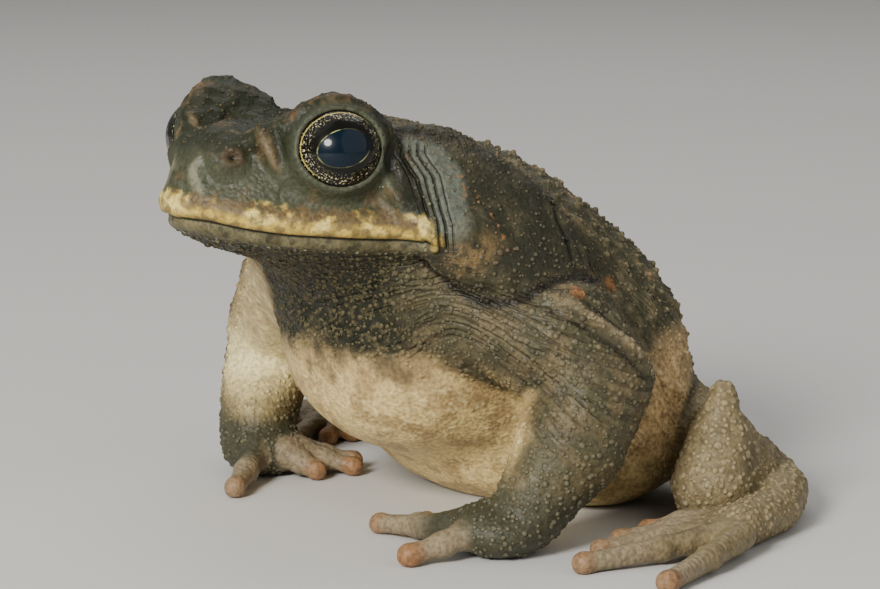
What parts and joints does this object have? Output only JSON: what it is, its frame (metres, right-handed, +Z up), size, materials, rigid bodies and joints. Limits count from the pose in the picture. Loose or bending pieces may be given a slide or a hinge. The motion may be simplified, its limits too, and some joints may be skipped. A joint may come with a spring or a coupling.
{
  "type": "cane toad",
  "caption": "Life-size still model of a sitting cane toad with raised head, large parotoid glands, planted forelegs and folded hind legs",
  "frame": {"origin": "centre of the bottom of the bounding box, on the floor under the belly", "axes": "the toad faces -Y, its left side is +X, +Z is up"},
  "size_m": [0.1452, 0.1068, 0.0773],
  "materials": {
    "head_skin": "smooth moist skin, olive grey with a yellow lip",
    "throat_skin": "fine granular skin, dark with yellow grains",
    "gland_skin": "smooth pored skin, dark olive with orange pores",
    "body_skin": "warty skin, brown back and cream belly",
    "arm_skin": "granular skin, olive brown with pale tubercles",
    "hand_skin": "granular skin, tan with orange-brown tips",
    "leg_skin": "densely granular skin, tan",
    "eye": "wet gloss, black iris with gold flecks"
  },
  "bodies": {
    "root": {"head": "head_skin", "lower_jaw": "throat_skin", "left_eye": "eye", "right_eye": "eye", "left_parotoid": "gland_skin", "right_parotoid": "gland_skin", "trunk": "body_skin", "left_upper_arm": "arm_skin", "right_upper_arm": "arm_skin", "left_forearm": "arm_skin", "right_forearm": "arm_skin", "left_hand": "hand_skin", "right_hand": "hand_skin", "left_thigh": "leg_skin", "right_thigh": "leg_skin", "left_shank": "leg_skin", "right_shank": "leg_skin", "left_foot": "hand_skin", "right_foot": "hand_skin"}
  },
  "joints": []
}
